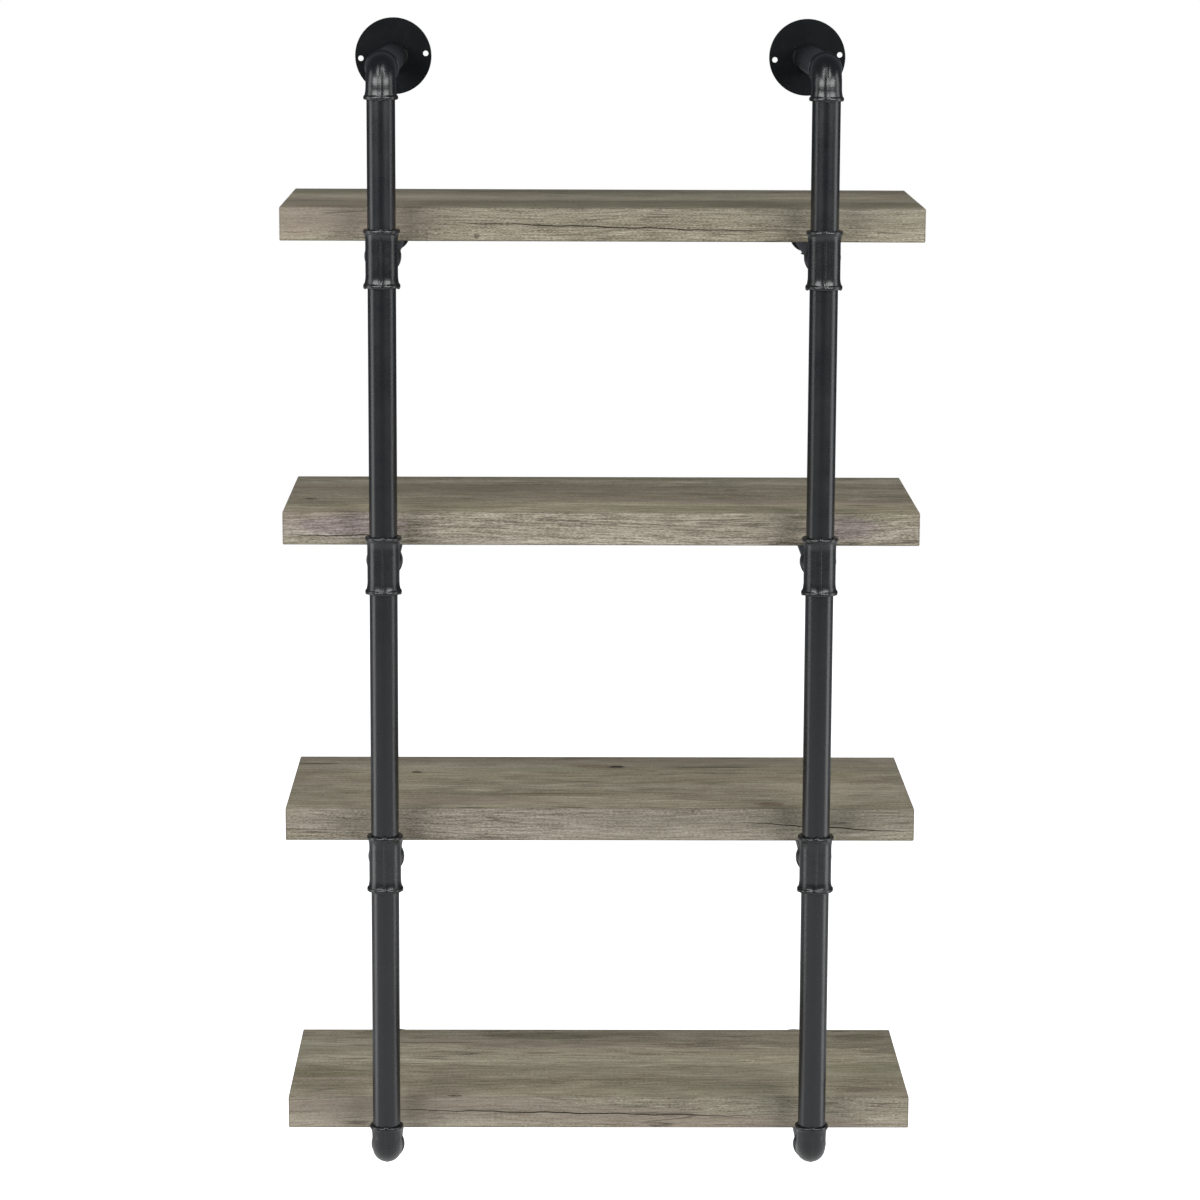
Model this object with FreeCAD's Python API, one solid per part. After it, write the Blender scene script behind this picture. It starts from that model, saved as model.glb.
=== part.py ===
import FreeCAD, Part
import math
import os

from FreeCAD import Vector

# Wall shelf of four boards on two black pipe frames, in millimetres.
# X runs to the right as seen from the front, Y towards the wall and Z up.
# The origin is on the wall plane, midway between the two top wall discs.

# Overall layout
BOARD_WIDTH = 609.6
BOARD_DEPTH = 228.6
BOARD_THICKNESS = 32.0
UPRIGHT_SPACING = 414.0
UPRIGHT_TO_WALL = 288.0
BOARD_FRONT_TO_UPRIGHT = 34.0
HANGER_TO_TOP_ARM = 176.0
LEVEL_PITCH = 290.5

# Pipe, with its ends cut down to the mean size of the thread
PIPE_R = 13.35
PIPE_BORE_R = 10.75
THREAD_R = 12.6
THREAD_LENGTH = 11.0
SOCKET_SPARE = 0.5

# Cast fittings, each a body that flares into a rolled bead at every mouth
TEE_REACH = 27.5
TEE_BODY_R = 15.85
TEE_BRANCH_R = 15.45
TEE_BEAD_R = 17.75
TEE_CROTCH_R = 2.0
ELBOW_REACH = 28.5
ELBOW_BODY_R = 14.7
ELBOW_BEAD_R = 16.6
ELBOW_BEND_R = 17.0
FITTING_PASSAGE_R = 10.5
BEAD_WIDTH = 5.0
BEAD_CROWN = 1.35
FLARE_LENGTH = 4.0
FLARE_HOLLOW = 0.25

# End caps on the arms that stop behind the boards
CAP_LENGTH = 20.0
CAP_BODY_R = 15.8
CAP_BEAD_R = 16.8
CAP_DOME_RISE = 2.0
CAP_CORNER_R = 1.0
CAP_GAP_BEHIND_BOARD = 1.4

# Wall discs, welded to the arms that reach the wall
DISC_R = 38.1
DISC_THICKNESS = 3.0
DISC_RIM_R = 0.6
DISC_HOLE_R = 2.75
DISC_HOLE_CIRCLE_R = 32.5
DISC_TURN_DEG = 4.5
WELD_LEG = 1.3
TACK_R = 1.4
TACK_CIRCLE_R = 15.2
TACKS = 3
FIRST_TACK_DEG = {"left": 34.0, "right": 22.0}

# Boards and the hardware that holds them down on the arms
BOARD_EDGE_R = 1.5
BOLT_INSET = 45.0
BOLT_R = 3.0
BOLT_LENGTH = 40.0
BOLT_TIP_CHAMFER = 0.8
BOLT_HEAD_R = 5.25
BOLT_HEAD_HEIGHT = 3.3
BOLT_HEAD_CROWN_R = 2.6
BOLT_KEY_ACROSS_FLATS = 4.0
BOLT_KEY_DEPTH = 2.0
BOLT_CLEARANCE_R = 3.25
WASHER_R = 8.0
WASHER_THICKNESS = 1.2
INSERT_R = 5.0
INSERT_ROOT_R = 4.5
INSERT_LENGTH = 15.0
INSERT_BARBS = 6
INSERT_HOLE_DEPTH = 16.0

# Places worked out from the layout
SIDES = {"left": -UPRIGHT_SPACING / 2, "right": UPRIGHT_SPACING / 2}
LEVELS = ("top", "upper", "lower", "bottom")
UPRIGHT_Y = -UPRIGHT_TO_WALL
BOARD_FRONT_Y = UPRIGHT_Y + BOARD_FRONT_TO_UPRIGHT
BOARD_BACK_Y = BOARD_FRONT_Y + BOARD_DEPTH
CAP_FRONT_Y = BOARD_BACK_Y + CAP_GAP_BEHIND_BOARD
DISC_FRONT_Y = -DISC_THICKNESS
HANGER_Z = 0.0
ARM_Z = {
    level: -HANGER_TO_TOP_ARM - LEVEL_PITCH * step for step, level in enumerate(LEVELS)
}
BOLT_YS = (BOARD_FRONT_Y + BOLT_INSET, BOARD_BACK_Y - BOLT_INSET)

RIGHT = Vector(1, 0, 0)
TO_WALL = Vector(0, 1, 0)
UP = Vector(0, 0, 1)
DOWN = Vector(0, 0, -1)
ORIGIN = Vector(0, 0, 0)


def line(a, b):
    """Straight edge between two (radius, height) points."""
    return Part.LineSegment(Vector(a[0], 0, a[1]), Vector(b[0], 0, b[1])).toShape()


def arc(a, through, b):
    """Circular edge through three (radius, height) points."""
    points = [Vector(p[0], 0, p[1]) for p in (a, through, b)]
    return Part.Arc(*points).toShape()


def turned(edges):
    """Solid made by turning a closed outline of edges once round the Z axis."""
    return Part.Face(Part.Wire(edges)).revolve(ORIGIN, UP, 360)


def ring(outer_r, inner_r, height, base):
    """Plain ring standing on Z = base."""
    outer = Part.makeCylinder(outer_r, height, Vector(0, 0, base))
    inner = Part.makeCylinder(inner_r, height, Vector(0, 0, base))
    return outer.cut(inner)


def aimed(shape, direction):
    """The shape with its own Z axis laid along a direction."""
    placed = shape.copy()
    placed.Placement = FreeCAD.Placement(ORIGIN, FreeCAD.Rotation(UP, direction))
    return placed


def moved(shape, x, y, z):
    """A copy of the shape moved by an offset."""
    placed = shape.copy()
    placed.translate(Vector(x, y, z))
    return placed


def fused(shapes):
    """The shapes joined into one, with the seams inside flat faces taken out."""
    return shapes[0].multiFuse(shapes[1:]).removeSplitter()


# Cast fittings


def fitting_arm(body_r, bead_r, reach):
    """Outside of one arm of a fitting, from its centre up to its mouth at Z = reach."""
    bead_foot = reach - BEAD_WIDTH
    flare_foot = bead_foot - FLARE_LENGTH
    edge_r = bead_r - BEAD_CROWN
    flare_mid = ((body_r + edge_r) / 2 - FLARE_HOLLOW, (flare_foot + bead_foot) / 2)
    return turned(
        [
            line((0, 0), (body_r, 0)),
            line((body_r, 0), (body_r, flare_foot)),
            arc((body_r, flare_foot), flare_mid, (edge_r, bead_foot)),
            arc((edge_r, bead_foot), (bead_r, reach - BEAD_WIDTH / 2), (edge_r, reach)),
            line((edge_r, reach), (0, reach)),
            line((0, reach), (0, 0)),
        ]
    )


def fitting_bore(reach):
    """What is cut out of one arm of a fitting: its passage and its pipe socket."""
    passage = Part.makeCylinder(FITTING_PASSAGE_R, reach)
    depth = THREAD_LENGTH + SOCKET_SPARE
    socket = Part.makeCylinder(THREAD_R, depth, Vector(0, 0, reach - depth))
    return passage.fuse(socket)


def crotch_edges(body):
    """Edges where the branch of a tee meets its run, all of them ahead of the mouth."""
    return [
        edge
        for edge in body.Edges
        if edge.BoundBox.YMin > 1 and edge.BoundBox.YMax < TEE_BODY_R + 1
        and edge.BoundBox.ZLength > TEE_BRANCH_R / 2
    ]


def tee():
    """Tee with its run along Z and its branch along +Y, centred on the origin."""
    run = fitting_arm(TEE_BODY_R, TEE_BEAD_R, TEE_REACH)
    branch = fitting_arm(TEE_BRANCH_R, TEE_BEAD_R, TEE_REACH)
    body = fused([aimed(run, UP), aimed(run, DOWN), aimed(branch, TO_WALL)])
    body = body.makeFillet(TEE_CROTCH_R, crotch_edges(body))
    bore = fitting_bore(TEE_REACH)
    for direction in (UP, DOWN, TO_WALL):
        body = body.cut(aimed(bore, direction))
    return body


def quarter_bend(radius):
    """Round bar bent from +Z over to +Y with its corner at the origin."""
    start = Vector(0, 0, ELBOW_BEND_R)
    section = Part.Face(Part.Wire(Part.makeCircle(radius, start, UP)))
    return section.revolve(Vector(0, ELBOW_BEND_R, ELBOW_BEND_R), RIGHT, 90)


def straight_part(arm, radius):
    """The stretch of a fitting arm that lies beyond the elbow's bend."""
    length = ELBOW_REACH - ELBOW_BEND_R
    keep = Part.makeCylinder(radius, length, Vector(0, 0, ELBOW_BEND_R))
    return arm.common(keep)


def elbow():
    """Elbow with one mouth facing +Z and one facing +Y, its corner at the origin."""
    arm = straight_part(
        fitting_arm(ELBOW_BODY_R, ELBOW_BEAD_R, ELBOW_REACH), ELBOW_BEAD_R
    )
    bore = straight_part(fitting_bore(ELBOW_REACH), THREAD_R)
    body = fused([quarter_bend(ELBOW_BODY_R), arm, aimed(arm, TO_WALL)])
    hollow = fused([quarter_bend(FITTING_PASSAGE_R), bore, aimed(bore, TO_WALL)])
    return body.cut(hollow)


def dome_middle(edge, rise):
    """Middle of the arc from a dome's edge to its top, which lies on the Z axis."""
    radius = (edge[0] ** 2 + rise**2) / (2 * rise)
    half = math.asin(edge[0] / radius) / 2
    return radius * math.sin(half), edge[1] + rise - radius * (1 - math.cos(half))


def end_cap():
    """Cap with its mouth at Z = 0 and its domed end at Z = CAP_LENGTH."""
    edge_r = CAP_BEAD_R - BEAD_CROWN / 2
    shoulder = CAP_LENGTH - CAP_DOME_RISE
    corner_foot = (CAP_BODY_R, shoulder - CAP_CORNER_R)
    corner_mid = (
        CAP_BODY_R - CAP_CORNER_R * (1 - math.cos(math.radians(45))),
        shoulder - CAP_CORNER_R * (1 - math.sin(math.radians(45))),
    )
    dome_edge = (CAP_BODY_R - CAP_CORNER_R, shoulder)
    crown = (0, CAP_LENGTH)
    body = turned(
        [
            line((0, 0), (edge_r, 0)),
            arc((edge_r, 0), (CAP_BEAD_R, BEAD_WIDTH / 2), (CAP_BODY_R, BEAD_WIDTH)),
            line((CAP_BODY_R, BEAD_WIDTH), corner_foot),
            arc(corner_foot, corner_mid, dome_edge),
            arc(dome_edge, dome_middle(dome_edge, CAP_DOME_RISE), crown),
            line(crown, (0, 0)),
        ]
    )
    return body.cut(Part.makeCylinder(THREAD_R, THREAD_LENGTH + SOCKET_SPARE))


# Pipes


def pipe(length, thread_at_start, thread_at_end):
    """Pipe whose full-size part runs from Z = 0 up; threads stand out past its ends."""
    outside = [Part.makeCylinder(PIPE_R, length)]
    bottom, top = 0.0, length
    if thread_at_start:
        bottom = -THREAD_LENGTH
        outside.append(
            Part.makeCylinder(THREAD_R, THREAD_LENGTH, Vector(0, 0, bottom))
        )
    if thread_at_end:
        outside.append(
            Part.makeCylinder(THREAD_R, THREAD_LENGTH, Vector(0, 0, length))
        )
        top = length + THREAD_LENGTH
    whole = fused(outside) if len(outside) > 1 else outside[0]
    bore = Part.makeCylinder(PIPE_BORE_R, top - bottom, Vector(0, 0, bottom))
    return whole.cut(bore)


def upright_pipe(x, low_z, high_z):
    """Upright pipe whose full-size part runs between two fitting mouths."""
    return moved(pipe(high_z - low_z, True, True), x, UPRIGHT_Y, low_z)


def arm_pipe(x, z, front_y, back_y, capped, drilled):
    """Level pipe from a fitting mouth back to a cap or a wall disc."""
    tube = moved(
        aimed(pipe(back_y - front_y, True, capped), TO_WALL), x, front_y, z
    )
    if not drilled:
        return tube
    for y in BOLT_YS:
        start = Vector(x, y, z - PIPE_R - 1)
        tube = tube.cut(
            Part.makeCylinder(BOLT_CLEARANCE_R, 2 * PIPE_R + 2, start)
        )
    return tube


# Wall discs


def wall_disc(side):
    """Disc whose back lies on the wall plane, with its arm's centre at the origin."""
    plate = Part.makeCylinder(DISC_R, DISC_THICKNESS, ORIGIN, Vector(0, -1, 0))
    rims = [
        edge
        for edge in plate.Edges
        if edge.Closed and edge.BoundBox.YMax < -DISC_THICKNESS / 2
    ]
    plate = plate.makeFillet(DISC_RIM_R, rims)
    weld = turned(
        [
            line((PIPE_R, 0), (PIPE_R + WELD_LEG, 0)),
            line((PIPE_R + WELD_LEG, 0), (PIPE_R, WELD_LEG)),
            line((PIPE_R, WELD_LEG), (PIPE_R, 0)),
        ]
    )
    pieces = [plate, moved(aimed(weld, Vector(0, -1, 0)), 0, DISC_FRONT_Y, 0)]
    for step in range(TACKS):
        angle = math.radians(FIRST_TACK_DEG[side] + step * 360 / TACKS)
        x = TACK_CIRCLE_R * math.cos(angle)
        z = TACK_CIRCLE_R * math.sin(angle)
        pieces.append(Part.makeSphere(TACK_R, Vector(x, DISC_FRONT_Y, z)))
    body = fused(pieces)
    for turn in (0, 180):
        angle = math.radians(DISC_TURN_DEG + turn)
        x = DISC_HOLE_CIRCLE_R * math.cos(angle)
        z = DISC_HOLE_CIRCLE_R * math.sin(angle)
        start = Vector(x, 1, z)
        hole = Part.makeCylinder(
            DISC_HOLE_R, DISC_THICKNESS + 2, start, Vector(0, -1, 0)
        )
        body = body.cut(hole)
    # The tacks stop at the pipe, which they only touch
    return body.cut(
        Part.makeCylinder(
            PIPE_R, TACK_R, Vector(0, DISC_FRONT_Y, 0), Vector(0, -1, 0)
        )
    )


# Boards and their hardware


def bolt_places(level):
    """Where the bolts of one board cross the axes of its arms."""
    return [(x, y, ARM_Z[level]) for x in SIDES.values() for y in BOLT_YS]


def board(level):
    """Laminated board lying on its two arms, with blind holes for its inserts."""
    underside = ARM_Z[level] + PIPE_R
    corner = Vector(-BOARD_WIDTH / 2, BOARD_FRONT_Y, underside)
    plank = Part.makeBox(BOARD_WIDTH, BOARD_DEPTH, BOARD_THICKNESS, corner)
    plank = plank.makeFillet(BOARD_EDGE_R, plank.Edges)
    for x, y, _ in bolt_places(level):
        hole = Part.makeCylinder(INSERT_R, INSERT_HOLE_DEPTH, Vector(x, y, underside))
        plank = plank.cut(hole)
    return plank


def bolt():
    """Button-head bolt pointing up, the underside of its head at Z = 0."""
    tip = BOLT_LENGTH - BOLT_TIP_CHAMFER
    crown_r = BOLT_HEAD_CROWN_R
    crown_mid = (
        (BOLT_HEAD_R + crown_r) / 2 + 0.6,
        -BOLT_HEAD_HEIGHT / 2 - 0.6,
    )
    body = turned(
        [
            line((0, BOLT_LENGTH), (BOLT_R - BOLT_TIP_CHAMFER, BOLT_LENGTH)),
            line((BOLT_R - BOLT_TIP_CHAMFER, BOLT_LENGTH), (BOLT_R, tip)),
            line((BOLT_R, tip), (BOLT_R, 0)),
            line((BOLT_R, 0), (BOLT_HEAD_R, 0)),
            arc((BOLT_HEAD_R, 0), crown_mid, (crown_r, -BOLT_HEAD_HEIGHT)),
            line((crown_r, -BOLT_HEAD_HEIGHT), (0, -BOLT_HEAD_HEIGHT)),
            line((0, -BOLT_HEAD_HEIGHT), (0, BOLT_LENGTH)),
        ]
    )
    corner_r = BOLT_KEY_ACROSS_FLATS / math.sqrt(3)
    corners = [
        Vector(
            corner_r * math.cos(math.radians(60 * step)),
            corner_r * math.sin(math.radians(60 * step)),
            -BOLT_HEAD_HEIGHT,
        )
        for step in range(7)
    ]
    key = Part.Face(Part.makePolygon(corners)).extrude(Vector(0, 0, BOLT_KEY_DEPTH))
    return body.cut(key)


def washer():
    """Flat washer standing on Z = 0."""
    return ring(WASHER_R, BOLT_CLEARANCE_R, WASHER_THICKNESS, 0)


def threaded_insert():
    """Barbed insert standing on Z = 0, its crests as wide as its hole."""
    pitch = INSERT_LENGTH / INSERT_BARBS
    edges = [line((BOLT_R, 0), (INSERT_ROOT_R, 0))]
    for step in range(INSERT_BARBS):
        foot = step * pitch
        crest = (INSERT_R, foot + pitch / 2)
        edges.append(line((INSERT_ROOT_R, foot), crest))
        edges.append(line(crest, (INSERT_ROOT_R, foot + pitch)))
    edges.append(line((INSERT_ROOT_R, INSERT_LENGTH), (BOLT_R, INSERT_LENGTH)))
    edges.append(line((BOLT_R, INSERT_LENGTH), (BOLT_R, 0)))
    return turned(edges)


def repeated(shape, places, lift):
    """Separate copies of one piece of hardware, lifted from the arm's axis."""
    return Part.makeCompound([moved(shape, x, y, z + lift) for x, y, z in places])


# The whole assembly


def board_nodes(level):
    """One board with its inserts, washers and bolts."""
    places = bolt_places(level)
    washer_foot = -PIPE_R - WASHER_THICKNESS
    return {
        f"{level}_board": board(level),
        f"{level}_board_inserts": repeated(threaded_insert(), places, PIPE_R),
        f"{level}_board_washers": repeated(washer(), places, washer_foot),
        f"{level}_board_bolts": repeated(bolt(), places, washer_foot),
    }


def arm_nodes(side, x):
    """The five level pipes of one side, with their discs and end caps."""
    elbow_mouth = UPRIGHT_Y + ELBOW_REACH
    tee_mouth = UPRIGHT_Y + TEE_REACH
    disc = wall_disc(side)
    hanger = arm_pipe(x, HANGER_Z, elbow_mouth, DISC_FRONT_Y, False, False)
    nodes = {
        f"{side}_hanger_arm_pipe": hanger,
        f"{side}_hanger_wall_disc": moved(disc, x, 0, HANGER_Z),
        f"{side}_bottom_wall_disc": moved(disc, x, 0, ARM_Z["bottom"]),
    }
    for level in LEVELS:
        z = ARM_Z[level]
        capped = level != "bottom"
        front = tee_mouth if capped else elbow_mouth
        back = CAP_FRONT_Y if capped else DISC_FRONT_Y
        nodes[f"{side}_{level}_arm_pipe"] = arm_pipe(x, z, front, back, capped, True)
        if capped:
            cap = moved(aimed(end_cap(), TO_WALL), x, CAP_FRONT_Y, z)
            nodes[f"{side}_{level}_end_cap"] = cap
    return nodes


def upright_nodes(side, x):
    """The elbows, tees and upright pipes of one side."""
    bend = elbow()
    turned_over = bend.copy()
    turned_over.rotate(ORIGIN, TO_WALL, 180)
    nodes = {
        f"{side}_hanger_elbow": moved(turned_over, x, UPRIGHT_Y, HANGER_Z),
        f"{side}_bottom_elbow": moved(bend, x, UPRIGHT_Y, ARM_Z["bottom"]),
    }
    above = HANGER_Z - ELBOW_REACH
    for level in LEVELS:
        z = ARM_Z[level]
        reach = ELBOW_REACH if level == "bottom" else TEE_REACH
        nodes[f"{side}_{level}_upright_pipe"] = upright_pipe(x, z + reach, above)
        above = z - reach
        if level != "bottom":
            nodes[f"{side}_{level}_tee"] = moved(tee(), x, UPRIGHT_Y, z)
    return nodes


def build_nodes():
    """Every node of the shelf by name."""
    nodes = {}
    for level in LEVELS:
        nodes.update(board_nodes(level))
    for side, x in SIDES.items():
        nodes.update(arm_nodes(side, x))
        nodes.update(upright_nodes(side, x))
    return nodes


def main():
    os.makedirs("parts", exist_ok=True)
    for name, shape in build_nodes().items():
        shape.exportStep(f"parts/{name}.step")
        print(f"{name}: {len(shape.Solids)} solid(s), valid {shape.isValid()}")


main()
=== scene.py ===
"""Wall shelf of four driftwood boards on two black pipe frames, dressed round its CAD model.

The boards, the cast fittings and the end caps are modelled here and stand for their CAD nodes. The
pipes, the wall discs and the small hardware are the CAD model's own shapes with painted finishes.
Every length is in metres. X runs to the right as seen from the front, Y towards the wall and Z up.
"""

import logging
import math
from collections.abc import Callable, Iterator, Sequence
from contextlib import contextmanager
from dataclasses import dataclass, field
from enum import Enum

import bmesh
import bpy
from mathutils import Matrix, Vector


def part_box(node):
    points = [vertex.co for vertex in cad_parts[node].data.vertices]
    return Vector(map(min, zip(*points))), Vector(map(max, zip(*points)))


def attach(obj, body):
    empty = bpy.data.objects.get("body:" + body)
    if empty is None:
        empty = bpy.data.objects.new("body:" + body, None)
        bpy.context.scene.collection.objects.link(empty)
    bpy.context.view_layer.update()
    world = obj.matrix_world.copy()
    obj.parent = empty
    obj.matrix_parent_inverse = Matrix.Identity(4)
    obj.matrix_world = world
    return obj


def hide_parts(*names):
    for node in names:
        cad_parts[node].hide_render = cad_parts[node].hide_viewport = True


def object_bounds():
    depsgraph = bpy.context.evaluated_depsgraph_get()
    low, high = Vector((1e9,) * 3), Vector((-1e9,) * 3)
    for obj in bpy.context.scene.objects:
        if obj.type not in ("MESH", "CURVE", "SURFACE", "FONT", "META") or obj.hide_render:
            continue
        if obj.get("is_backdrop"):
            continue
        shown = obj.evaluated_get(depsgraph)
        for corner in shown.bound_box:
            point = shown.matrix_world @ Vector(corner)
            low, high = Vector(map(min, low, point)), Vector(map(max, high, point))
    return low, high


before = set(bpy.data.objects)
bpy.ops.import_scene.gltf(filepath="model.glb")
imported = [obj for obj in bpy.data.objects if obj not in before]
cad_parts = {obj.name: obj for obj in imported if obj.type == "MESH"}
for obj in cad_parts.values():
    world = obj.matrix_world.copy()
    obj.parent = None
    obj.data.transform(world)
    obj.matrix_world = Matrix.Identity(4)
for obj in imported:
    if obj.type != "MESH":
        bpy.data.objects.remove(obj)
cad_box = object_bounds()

BODY = "root"
MM = 0.001
SAME_POINT = 0.001 * MM
UPWARD = 0.9
LEVELS = ("top", "upper", "lower", "bottom")
SIDES = ("left", "right")

Rgb = tuple[float, float, float]
Point = tuple[float, float]
Step = tuple[float, float]
Outline = Sequence[Point]
log = logging.getLogger("wall shelf")


# Modelling helpers


def only(*items: bpy.types.Object) -> None:
    """Leaves just the given objects selected, with the last one active.

    Args:
        *items: The objects to select.
    """
    bpy.ops.object.select_all(action="DESELECT")
    for item in items:
        item.select_set(True)
        bpy.context.view_layer.objects.active = item


@contextmanager
def editing(item: bpy.types.Object, kind: str = "FACE") -> Iterator[bmesh.types.BMesh]:
    """Edit mode on one object, with nothing selected to begin with.

    Args:
        item: The mesh object to edit.
        kind: What is selected in it: VERT, EDGE or FACE.

    Returns:
        A context that gives the object's edit mesh.
    """
    only(item)
    bpy.ops.object.mode_set(mode="EDIT")
    bpy.ops.mesh.select_mode(type=kind)
    bpy.ops.mesh.select_all(action="DESELECT")
    yield bmesh.from_edit_mesh(item.data)
    bpy.ops.object.mode_set(mode="OBJECT")


def pick(elements: Sequence, test: Callable[..., bool]) -> None:
    """Selects the faces, edges or vertices that pass a test.

    Args:
        elements: The faces, edges or vertices to look through.
        test: Says whether one of them is wanted.
    """
    for element in elements:
        if test(element):
            element.select_set(True)


def settle(item: bpy.types.Object, name: str) -> bpy.types.Object:
    """Names a new object and moves its place, turn and size into its mesh.

    Args:
        item: The object that an operator has just added.
        name: Its new name, also given to its mesh.

    Returns:
        The same object, now at the origin.
    """
    only(item)
    bpy.ops.object.transform_apply(location=True, rotation=True, scale=True)
    item.name = item.data.name = name
    return item


def finish(item: bpy.types.Object, kind: str, **settings: object) -> None:
    """Adds one modifier and applies it.

    Args:
        item: The object that it works on.
        kind: The modifier's type.
        **settings: The modifier's own properties.
    """
    only(item)
    modifier = item.modifiers.new(kind.lower(), kind)
    for name, value in settings.items():
        setattr(modifier, name, value)
    bpy.ops.object.modifier_apply(modifier=modifier.name)


def cut(item: bpy.types.Object, tools: Sequence[bpy.types.Object]) -> None:
    """Cuts solids out of another, which gets their material on the cut.

    Args:
        item: The solid that is cut.
        tools: The solids to cut out of it, deleted afterwards.
    """
    for tool in tools:
        finish(item, "BOOLEAN", operation="DIFFERENCE", solver="EXACT", object=tool,
               material_mode="TRANSFER")
        discard(tool)


def clean(item: bpy.types.Object, sliver: float = 0.02 * MM, crease: float = 0.01 * MM,
          speck: float = 0.005 * MM) -> None:
    """Merges the slivers that a cut leaves along its rims, and makes its faces triangles.

    Args:
        item: The solid that was cut.
        sliver: Points nearer than this are merged first.
        crease: Edges shorter than this are then dissolved.
        speck: Points nearer than this are merged once the faces are triangles.
    """
    with editing(item, "VERT"):
        bpy.ops.mesh.select_all(action="SELECT")
        bpy.ops.mesh.remove_doubles(threshold=sliver)
        bpy.ops.mesh.dissolve_degenerate(threshold=crease)
        bpy.ops.mesh.select_all(action="SELECT")
        bpy.ops.mesh.quads_convert_to_tris(quad_method="BEAUTY", ngon_method="BEAUTY")
        bpy.ops.mesh.remove_doubles(threshold=speck)


def discard(item: bpy.types.Object) -> None:
    """Deletes an object and its mesh.

    Args:
        item: The object to delete.
    """
    mesh = item.data
    bpy.data.objects.remove(item)
    bpy.data.meshes.remove(mesh)


def merged(items: Sequence[bpy.types.Object], name: str) -> bpy.types.Object:
    """Joins objects into one, whose shells may still overlap.

    Args:
        items: The objects to join.
        name: What the joined object is called.

    Returns:
        The joined object.
    """
    only(*items)
    if len(items) > 1:
        bpy.ops.object.join()
    return settle(bpy.context.view_layer.objects.active, name)


def copy_of(item: bpy.types.Object, name: str, matrix: Matrix) -> bpy.types.Object:
    """Copies an object with a mesh of its own.

    Args:
        item: The object to copy.
        name: What the copy is called.
        matrix: Where the copy goes, moved into its mesh.

    Returns:
        The copy, at the origin.
    """
    twin = item.copy()
    twin.data = item.data.copy()
    twin.name = twin.data.name = name
    twin.data.transform(matrix)
    bpy.context.scene.collection.objects.link(twin)
    return twin


def turned(name: str, outline: Outline, segments: int = 72) -> bpy.types.Object:
    """Closed solid turned round the Z axis, raised rim by rim from a cylinder.

    Args:
        name: What the new object is called.
        outline: (radius, height) points, the first two with the same radius. The solid is
            capped at the first and the last.
        segments: How many sides the solid has.

    Returns:
        The new object, at the origin.
    """
    (radius, foot), (_, height) = outline[:2]
    bpy.ops.object.select_all(action="DESELECT")
    bpy.ops.mesh.primitive_cylinder_add(vertices=segments, radius=radius, depth=height - foot,
                                        location=(0, 0, (foot + height) / 2))
    item = settle(bpy.context.object, name)
    with editing(item) as mesh:
        pick(mesh.faces, lambda face: face.normal.z > UPWARD)
        for next_radius, next_height in outline[2:]:
            bpy.ops.mesh.extrude_region_move(
                TRANSFORM_OT_translate={"value": (0, 0, next_height - height)})
            ratio = next_radius / radius
            bpy.ops.transform.resize(value=(ratio, ratio, 1),
                                     center_override=(0, 0, next_height))
            radius, height = next_radius, next_height
    return item


def curve(start: float, end: float, steps: int) -> list[float]:
    """Evenly spaced values from start to end, with both ends."""
    return [start + (end - start) * step / steps for step in range(steps + 1)]


def coat(item: bpy.types.Object, material: bpy.types.Material) -> None:
    """Gives a whole piece one material.

    Args:
        item: The piece.
        material: What it is made of.
    """
    item.data.materials.clear()
    item.data.materials.append(material)
    for face in item.data.polygons:
        face.material_index = 0


def smooth(item: bpy.types.Object, degrees: float = 38.0) -> None:
    """Shades a piece smooth, apart from the edges that are sharper than the given angle."""
    only(item)
    bpy.ops.object.shade_smooth_by_angle(angle=math.radians(degrees))


# Shader maths


class Signal:
    """A number that varies over a surface, carried by a shader socket."""

    def __init__(self, shader: "Shader", socket: bpy.types.NodeSocket) -> None:
        """Wraps a socket of one of the shader's nodes."""
        self.shader = shader
        self.socket = socket

    def __add__(self, other: "Signal | float") -> "Signal":
        """self + other."""
        return self.shader.math("ADD", self, other)

    __radd__ = __add__

    def __mul__(self, other: "Signal | float") -> "Signal":
        """self * other."""
        return self.shader.math("MULTIPLY", self, other)

    __rmul__ = __mul__

    def __sub__(self, other: "Signal | float") -> "Signal":
        """self - other."""
        return self.shader.math("SUBTRACT", self, other)

    def __rsub__(self, other: "Signal | float") -> "Signal":
        """other - self."""
        return self.shader.math("SUBTRACT", other, self)

    def __truediv__(self, other: "Signal | float") -> "Signal":
        """self / other."""
        return self.shader.math("DIVIDE", self, other)

    def __abs__(self) -> "Signal":
        """abs(self)."""
        return self.shader.math("ABSOLUTE", self)

    def eased(self, low: float, high: float) -> "Signal":
        """Smooth step between two values.

        Args:
            low: Where the step begins, at 0.
            high: Where it ends, at 1.

        Returns:
            The step.
        """
        made = self.shader.node("ShaderNodeMapRange", {"interpolation_type": "SMOOTHSTEP"},
                                {"Value": self, "From Min": low, "From Max": high})
        return Signal(self.shader, made.outputs["Result"])


Value = Signal | bpy.types.NodeSocket | float | Sequence[float]


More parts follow.
